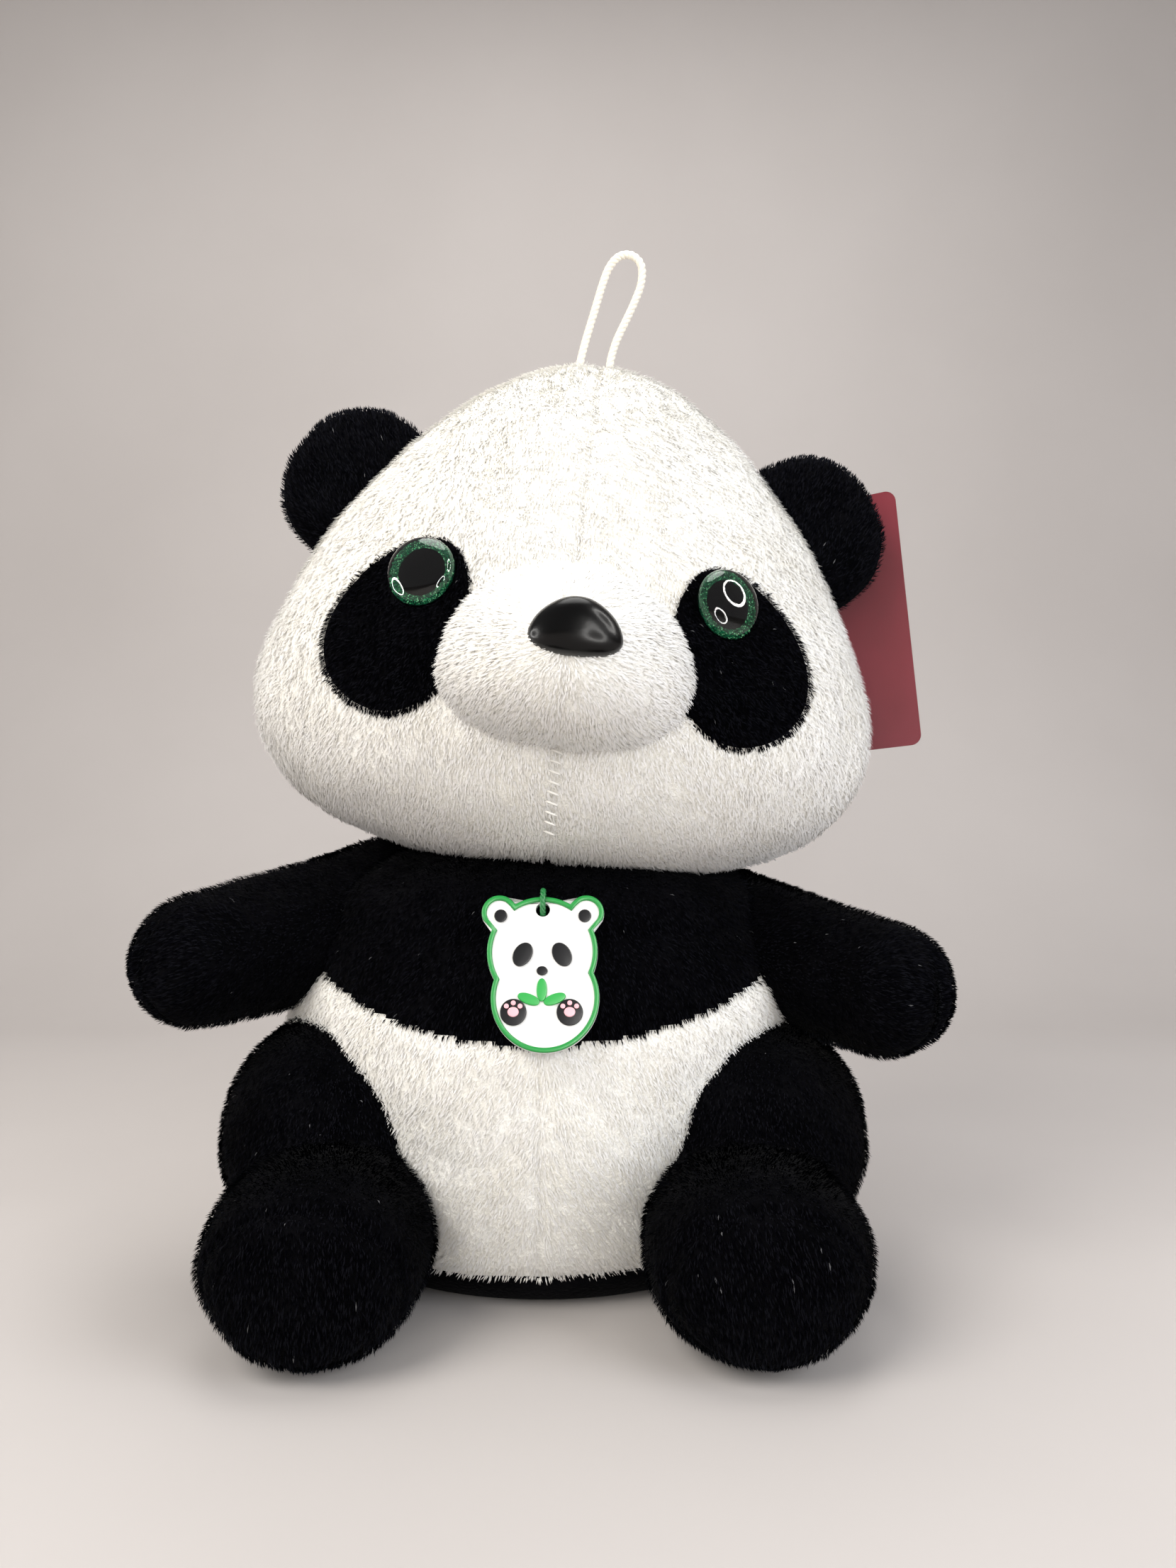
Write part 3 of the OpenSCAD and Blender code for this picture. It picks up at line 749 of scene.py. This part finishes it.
def band_edge(x, y):
    """Height of the seam between the belly and the chest band."""
    return 104 + y * math.tan(math.radians(14)) + 0.0016 * x * x


def make_torso():
    cols = 220
    phi = np.linspace(0, 2 * math.pi, cols, endpoint=False)
    levels = np.concatenate([[0.0], np.linspace(0.2, 12, 12), np.linspace(13, 147, 110)])
    rings = []
    for z in levels:
        r = float(torso_r(np.array(z)))
        if z < SEAT_Z:
            r -= 9 * (1 - float(bulge(1 - z / SEAT_Z, 2)))
        if z > 120:
            r = float(torso_r(np.array(120.0))) * math.sqrt(max(0.02, 1 - ((z - 120) / 30) ** 2))
        rings.append(np.stack([r * np.cos(phi), r * BODY_DEPTH * np.sin(phi), np.full(cols, z)], 1))
    rings = [rings[0] * np.array([0.0, 0.0, 1.0]), *rings, rings[-1] * np.array([0.0, 0.0, 1.0])]
    p, faces = closed_rings(rings)
    faces = np.array([f if len(f) == 4 else [*f, f[-1]] for f in faces])
    front = p[:, 1] < 0
    crease = np.exp(-((p[:, 0] / 1.5) ** 2)) * front * (p[:, 2] > SEAT_Z) * (p[:, 2] < 100)
    edge = p[:, 2] - band_edge(p[:, 0], p[:, 1])
    pinch = np.exp(-((edge / 3.0) ** 2))
    seat = np.exp(-(((p[:, 2] - SEAT_Z) / 2.2) ** 2))
    shrink = 1 - 0.018 * crease - 0.014 * pinch - 0.012 * seat
    p[:, :2] *= shrink[:, None]
    middle = p[faces].mean(axis=1)
    high = middle[:, 2] > band_edge(middle[:, 0], middle[:, 1])
    low = middle[:, 2] < SEAT_Z
    groups = {
        "belly": (~high & ~low, WHITE_BASE, "body_cover", "white_plush", 0.85),
        "chest": (high, BLACK_BASE, "chest_band", "black_plush", 0.85),
        "seat": (low, BLACK_BASE, "base_panel", "black_plush", 0.6),
    }
    for name, (chosen, material, node, slot, fill) in groups.items():
        f = [list(dict.fromkeys(face)) for face in faces[chosen]]
        ob = mesh_object(f"torso_{name}", p, f, material)
        drop_loose(ob)
        if name != "seat":
            roughen(ob, 24, 0.9, 61)
        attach(ob, "torso")
        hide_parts(node)
        if name == "belly":
            pile = add_pile(ob, "belly_pile", "torso", belly_nap, 63, WHITE_FIBRES)
        elif name == "chest":
            pile = add_pile(ob, "chest_pile", "torso", (0, 0, -1), 65, BLACK_FIBRES, per_mm2=1.5,
                            length=2.6, width=0.4, lean=0.5)
        else:
            continue


def belly_nap(p):
    """Pile falls away from the middle seam on both panels."""
    return np.stack([np.tanh(p[:, 0] / 4) * 0.55, np.zeros(len(p)), -np.ones(len(p))], 1)


def drop_loose(ob):
    """Removes points that no face uses."""
    mesh = ob.data
    used = np.zeros(len(mesh.vertices), bool)
    idx = np.empty(len(mesh.loops), np.int32)
    mesh.loops.foreach_get("vertex_index", idx)
    used[idx] = True
    where = np.cumsum(used) - 1
    p = points_of(ob)[used]
    faces = [[int(where[i]) for i in poly.vertices] for poly in mesh.polygons]
    new = bpy.data.meshes.new(mesh.name)
    new.from_pydata((p * MM).tolist(), [], faces)
    new.polygons.foreach_set("use_smooth", np.ones(len(faces), bool))
    for m in mesh.materials:
        new.materials.append(m)
    ob.data = new


# ---------------------------------------------------------------- limbs

def make_arms():
    for name, side in SIDES.items():
        root = SHOULDERS[name]
        rings = limb_rings(ARM_ROOT_R, ARM_TIP_R, ARM_L, waist=0.5)
        heading = math.pi + ARM_FORWARD if side < 0 else -ARM_FORWARD
        turn = turn_matrix(heading, "Z") @ turn_matrix(math.pi / 2 + ARM_DROP, "Y")
        arm = fused(f"arm_{name}_plush", [closed_rings(moved(rings, turn, root))], 2.2, 4, BLACK_BASE)
        roughen(arm, 18, 0.8, 71 + side)
        p = points_of(arm)
        local = (p - root) @ turn
        notch = np.exp(-(((local[:, 1]) / 2.6) ** 2)) * np.clip((local[:, 2] - 84) / 10, 0, 1)
        along = turn @ np.array([0, 0, 1.0])
        set_points(arm, p - along * (2.7 * notch)[:, None])
        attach(arm, f"arm_{name}")
        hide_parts(f"arm_{name}_cover")
        pile = add_pile(arm, f"arm_{name}_pile", f"arm_{name}", tuple(along), 73 + side, BLACK_FIBRES,
                        per_mm2=2.0, length=2.6, width=0.4, lean=0.5)


def make_legs():
    for name, side in SIDES.items():
        flip = np.array([side, 1, 1])
        hip_c, foot_c = HIP * flip, FOOT_C * flip
        haunch = plump_rings(HAUNCH_R, HAUNCH_HALF_W, 2, 0, 1, 50, 90)
        haunch = moved(haunch, turn_matrix(math.pi / 2, "Y"), hip_c)
        foot = plump_rings(FOOT_R, FOOT_HALF_L, 2.9, 0, FOOT_SQUASH, 50, 90)
        foot = moved(foot, turn_matrix(math.pi / 2, "X"), foot_c)
        leg = fused(f"leg_{name}_plush", [closed_rings(haunch), closed_rings(foot)], 2.2, 8, BLACK_BASE)
        roughen(leg, 20, 0.8, 81 + side)
        p = points_of(leg)
        local = (p - foot_c) / np.array([FOOT_R, FOOT_HALF_L, FOOT_R * FOOT_SQUASH])
        ring = np.hypot(local[:, 0] / 0.86, (local[:, 2] + 0.08) / 0.80)
        seam = np.exp(-(((ring - 1) / 0.045) ** 2)) * (local[:, 1] < -0.3)
        flat = np.clip((0.95 - ring) * 4, 0, 1) * (local[:, 1] < -0.3)
        p[:, 1] += 2.4 * seam + 0.8 * flat
        p[:, 2] = np.maximum(p[:, 2], 0.3)
        set_points(leg, p)
        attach(leg, f"leg_{name}")
        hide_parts(f"leg_{name}_cover", f"leg_{name}_sole")
        pile = add_pile(leg, f"leg_{name}_pile", f"leg_{name}", (0, -0.7, -0.7), 83 + side, BLACK_FIBRES,
                        per_mm2=1.7, length=2.6, width=0.4, lean=0.5, keep=lambda q: q[:, 2] > 1.5)


def make_tail():
    rings = plump_rings(TAIL_R, TAIL_HALF_L, 2, 0, 1, 40, 60)
    rings = moved(rings, turn_matrix(math.pi / 2, "X"), TAIL_ROOT + np.array([0, 6, 1]))
    tail = fused("tail_ball", [closed_rings(rings)], 2, 3, BLACK_BASE)
    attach(tail, "tail")
    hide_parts("tail")
    pile = add_pile(tail, "tail_pile", "tail", (0, 0.3, -1), 91, BLACK_FIBRES, per_mm2=1.8, length=2.6,
                    width=0.4, lean=0.5, spread=0.4)


# ---------------------------------------------------------------- cords, tag, charm, fittings

LOOP_D, CORD_D = 2.6, 2.2
LOOP_ROUTE = np.array([
    [11, -10, 312], [12, -10, 317], [14, -10, 325], [17, -10, 335], [20, -10, 345],
    [22.5, -10, 351.5], [26, -10, 355.5], [30.5, -10, 356], [34, -10, 352.5], [34, -10, 346],
    [31.5, -10, 339], [28, -10, 331.5], [25, -10, 325], [23, -10, 318], [22.5, -10, 312],
])
CORD_ROUTE = np.array([
    [2, -23, 129.4], [2, -27, 129.6], [2, -32, 129.6], [2, -37, 129.6], [2, -42, 129.6],
    [2, -47, 129.6], [1.8, -51.5, 129.8], [1.4, -55.5, 130.2],
])


def smooth_line(route, steps):
    """Evenly spaced points on a smooth line through a given route."""
    points = []
    padded = np.concatenate([route[:1] * 2 - route[1:2], route, route[-1:] * 2 - route[-2:-1]])
    for i in range(1, len(padded) - 2):
        a, b, c, d = padded[i - 1:i + 3]
        for t in np.linspace(0, 1, 24, endpoint=False):
            points.append(0.5 * (2 * b + (c - a) * t + (2 * a - 5 * b + 4 * c - d) * t * t
                                 + (3 * b - 3 * c + d - a) * t ** 3))
    points = np.array(points + [route[-1]])
    along = np.concatenate([[0], np.cumsum(np.linalg.norm(np.diff(points, axis=0), axis=1))])
    at = np.linspace(0, along[-1], steps)
    return np.stack([np.interp(at, along, points[:, k]) for k in range(3)], 1), along[-1]


def across(line):
    """Two directions square to a line at each of its points."""
    way = unit(np.gradient(line, axis=0))
    side = unit(np.cross(way, np.array([0.31, 0.87, 0.38])))
    return side, np.cross(way, side)


def tube(line, radius, sides=10):
    """Points and faces of a closed tube around a line."""
    side, up = across(line)
    phi = np.linspace(0, 2 * math.pi, sides, endpoint=False)
    rings = [line[:1]]
    for i in range(len(line)):
        rings.append(line[i] + radius * (np.cos(phi)[:, None] * side[i] + np.sin(phi)[:, None] * up[i]))
    rings.append(line[-1:])
    return closed_rings(rings)


def twisted(line, length, diameter, strands, pitch, thick):
    """Skins of strands wound around a line."""
    side, up = across(line)
    turn = np.linspace(0, 2 * math.pi * length / pitch, len(line))
    skins = []
    for k in range(strands):
        a = turn + 2 * math.pi * k / strands
        r = diameter / 2 - thick / 2
        skins.append(tube(line + r * (np.cos(a)[:, None] * side + np.sin(a)[:, None] * up), thick / 2))
    return skins


def make_cords():
    cotton = principled("loop_cotton", (0.82, 0.77, 0.66), 0.85, Sheen_Weight=0.3)
    green = principled("cord_green", (0.004, 0.17, 0.035), 0.5, Sheen_Weight=0.2)
    line, length = smooth_line(LOOP_ROUTE, 420)
    p, f = joined(twisted(line, length, LOOP_D * 1.12, 3, 5.5, LOOP_D * 0.6))
    loop = mesh_object("loop_cord", p, f, cotton)
    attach(loop, "head")
    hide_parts("hanging_loop")
    line, length = smooth_line(CORD_ROUTE, 160)
    p, f = joined(twisted(line, length, CORD_D * 1.15, 4, 7, CORD_D * 0.46)
                  + twisted(line, length, CORD_D * 1.15, 4, -7, CORD_D * 0.44))
    neck_cord = mesh_object("neck_cord", p, f, green)
    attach(neck_cord, "torso")
    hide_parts("charm_cord")


def dress(node, material):
    """Gives a carried-over node its finish."""
    ob = frame["nodes"][node]
    ob.data.materials.clear()
    ob.data.materials.append(material)


CHARM_HOLE = np.array([1, -60.8, 127])
CHARM_M = turn_matrix(math.radians(90 - 19), "X")
CHARM_BASE, CHARM_RELIEF = 3.0, 0.9
CHARM_LOBES = [(0, -13, 17), (1, -27, 16.5), (-13.5, -1, 5.5), (13.5, -1, 5.5)]
CHARM_STEPS = 240
HOLE_R, HITCH_R = 2.2, 3.7
PAW = (8.5, -31.5)
LEAF_ROOT, LEAF_ANGLES = (0, -29), (20, 90, 160)


def on_charm(points):
    return points @ CHARM_M.T + CHARM_HOLE


def round_steps():
    a = np.linspace(0, 2 * math.pi, CHARM_STEPS, endpoint=False)
    return np.stack([np.cos(a), np.sin(a)], 1)


def lobed(grow):
    """Outline of the union of the charm's round lobes, each grown, seen from a middle point."""
    middle = np.array([0, -19])
    way = round_steps()
    reach = np.zeros(CHARM_STEPS)
    for x, y, r in CHARM_LOBES:
        to = np.array([x, y]) - middle
        along = way @ to
        under = (r + grow) ** 2 - (to @ to - along ** 2)
        reach = np.maximum(reach, np.where(under > 0, along + np.sqrt(np.maximum(under, 0)), 0))
    return middle + way * reach[:, None]


def at_height(outline, h):
    return np.column_stack([outline, np.full(len(outline), h)])


def layered(outlines, heights):
    """Closed skin over outlines stacked at heights, capped at both ends."""
    rings = [at_height(o, h) for o, h in zip(outlines, heights)]
    rings = [rings[0].mean(axis=0, keepdims=True), *rings, rings[-1].mean(axis=0, keepdims=True)]
    return closed_rings(rings)


def button(shape, low, high, edge=0.35):
    """Raised inlay with a rounded edge. shape(grow) gives its outline."""
    steps = np.linspace(0, math.pi / 2, 5)
    outlines = [shape(0)] + [shape(-edge * (1 - math.cos(a))) for a in steps]
    heights = [low] + [high - edge + edge * math.sin(a) for a in steps]
    return layered(outlines, heights)


def oval(x, y, rx, ry, lean=0.0):
    def outline(grow):
        a = np.linspace(0, 2 * math.pi, 48, endpoint=False)
        p = np.stack([(rx + grow) * np.cos(a), (ry + grow) * np.sin(a)], 1)
        c, s = math.cos(lean), math.sin(lean)
        return p @ np.array([[c, s], [-s, c]]) + np.array([x, y])
    return outline


def leaf(lean):
    def outline(grow):
        t = np.linspace(0, 2 * math.pi, 40, endpoint=False)
        half = (1.6 + grow) * np.abs(np.sin(t)) ** 0.9 * np.sign(np.sin(t))
        p = np.stack([4.2 + (3.5 + grow) * np.cos(t), half], 1)
        c, s = math.cos(lean), math.sin(lean)
        return p @ np.array([[c, s], [-s, c]]) + np.array(LEAF_ROOT)
    return outline


def charm_piece(name, skins, material, node):
    p, faces = joined(skins)
    ob = mesh_object(name, on_charm(p), faces, material)
    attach(ob, "charm")
    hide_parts(node)


def make_charm():
    white = principled("pvc_white", (0.84, 0.84, 0.83), 0.42)
    green = principled("pvc_green", (0.010, 0.27, 0.045), 0.4)
    leafy = principled("pvc_leaf", (0.02, 0.36, 0.06), 0.4)
    black = principled("pvc_black", (0.005, 0.005, 0.006), 0.32)
    pink = principled("pvc_pink", (0.85, 0.45, 0.50), 0.42)
    # base with a rounded edge, open at the hole for the cord
    steps = np.linspace(0, math.pi / 2, 6)
    edge = 0.7
    outer = [(-edge * (1 - math.sin(a)), edge * (1 - math.cos(a))) for a in steps]
    outer += [(-0.25 * (1 - math.cos(a)), CHARM_BASE - 0.25 + 0.25 * math.sin(a)) for a in steps]
    hole = HOLE_R * round_steps()
    levels = [(hole, CHARM_BASE), (hole, 0), *[(lobed(g), h) for g, h in outer], (hole, CHARM_BASE)]
    rings = [at_height(outline, h) for outline, h in levels]
    faces = []
    for r in range(len(rings) - 1):
        faces += band(r * CHARM_STEPS, (r + 1) * CHARM_STEPS, CHARM_STEPS)
    charm_piece("charm_plate", [(np.concatenate(rings), faces)], white, "charm_base")
    # rim: a rounded raised band around the edge
    ring = [(-0.05, CHARM_BASE), (-0.05, CHARM_BASE + 0.5), (-0.3, CHARM_BASE + CHARM_RELIEF),
            (-1.3, CHARM_BASE + CHARM_RELIEF), (-1.55, CHARM_BASE + 0.5), (-1.6, CHARM_BASE)]
    rings = [at_height(lobed(g), h) for g, h in ring]
    faces = []
    for r in range(len(rings)):
        faces += band(r * CHARM_STEPS, (r + 1) % len(rings) * CHARM_STEPS, CHARM_STEPS)
    charm_piece("charm_band", [(np.concatenate(rings), faces)], green, "charm_rim")
    low, high = CHARM_BASE - 0.1, CHARM_BASE + CHARM_RELIEF
    inlays = [button(oval(0, -19, 1.7, 1.4), low, high)]
    for side in (-1, 1):
        inlays.append(button(oval(side * 6, -14, 2.8, 3.9, side * math.radians(30)), low, high))
        inlays.append(button(oval(side * PAW[0], PAW[1], 4, 4), low, high))
        inlays.append(button(oval(side * 13, -2, 2.0, 2.0), low, high))
    charm_piece("charm_inlays", inlays, black, "charm_black")
    pads = []
    for side in (-1, 1):
        pads.append(button(oval(side * PAW[0], PAW[1], 1.7, 1.5), high - 0.1, high + 0.5, 0.3))
        for a in (40, 90, 140):
            x, y = 2.7 * math.cos(math.radians(a)), 2.7 * math.sin(math.radians(a))
            pads.append(button(oval(side * PAW[0] + x, PAW[1] + y, 0.75, 0.75), high - 0.1, high + 0.5, 0.25))
    charm_piece("charm_pads", pads, pink, "charm_pink")
    sprig = [button(leaf(math.radians(a)), low, high, 0.4) for a in LEAF_ANGLES]
    charm_piece("charm_sprig", sprig, leafy, "charm_leaves")
    # knot of cord through the hole
    a = np.linspace(0, 2 * math.pi, 90)
    out = np.stack([np.zeros(len(a)), np.cos(a), np.sin(a)], 1)
    circle = np.array([0, 2.6, CHARM_BASE / 2]) + HITCH_R * out
    way = np.stack([np.zeros(len(a)), -np.sin(a), np.cos(a)], 1)
    sideways = np.cross(way, out)
    skins = []
    for k in range(3):
        t = a * 5 + k * 2 * math.pi / 3
        skins.append(tube(circle + 0.42 * (np.cos(t)[:, None] * sideways + np.sin(t)[:, None] * out), 0.5, 8))
    p, faces = joined(skins)
    knot = mesh_object("charm_knot", on_charm(p), faces, principled("hitch_green", (0.004, 0.17, 0.035), 0.5))
    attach(knot, "hitch")
    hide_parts("charm_hitch")


def make_fittings():
    card = principled("tag_card", (0.16, 0.006, 0.016), 0.55)
    add_variation(card, (0.15, 0.005, 0.014), (0.175, 0.008, 0.02), 40)
    dress("swing_tag", card)
    dress("tag_pin", principled("nylon_clear", (0.7, 0.7, 0.7), 0.3, Transmission_Weight=0.5))
    fibre_fill = principled("fibre_fill_inside", (0.85, 0.85, 0.83), 0.95)
    plastic = principled("fixing_plastic_inside", (0.5, 0.5, 0.5), 0.4)
    for node in ("body_stuffing", "neck_stuffing", "head_stuffing", "muzzle_stuffing", "arm_left_stuffing",
                 "arm_right_stuffing", "leg_left_stuffing", "leg_right_stuffing"):
        dress(node, fibre_fill)
    for node in ("eye_pin_left", "eye_pin_right", "eye_washer_left", "eye_washer_right", "nose_washer"):
        dress(node, plastic)


make_camera()
make_stage()
make_lights()
make_head()
make_chin_stitches()
make_patches()
make_muzzle()
make_eyes()
make_nose()
make_ears()
make_torso()
make_arms()
make_legs()
make_tail()
make_cords()
make_charm()
make_fittings()
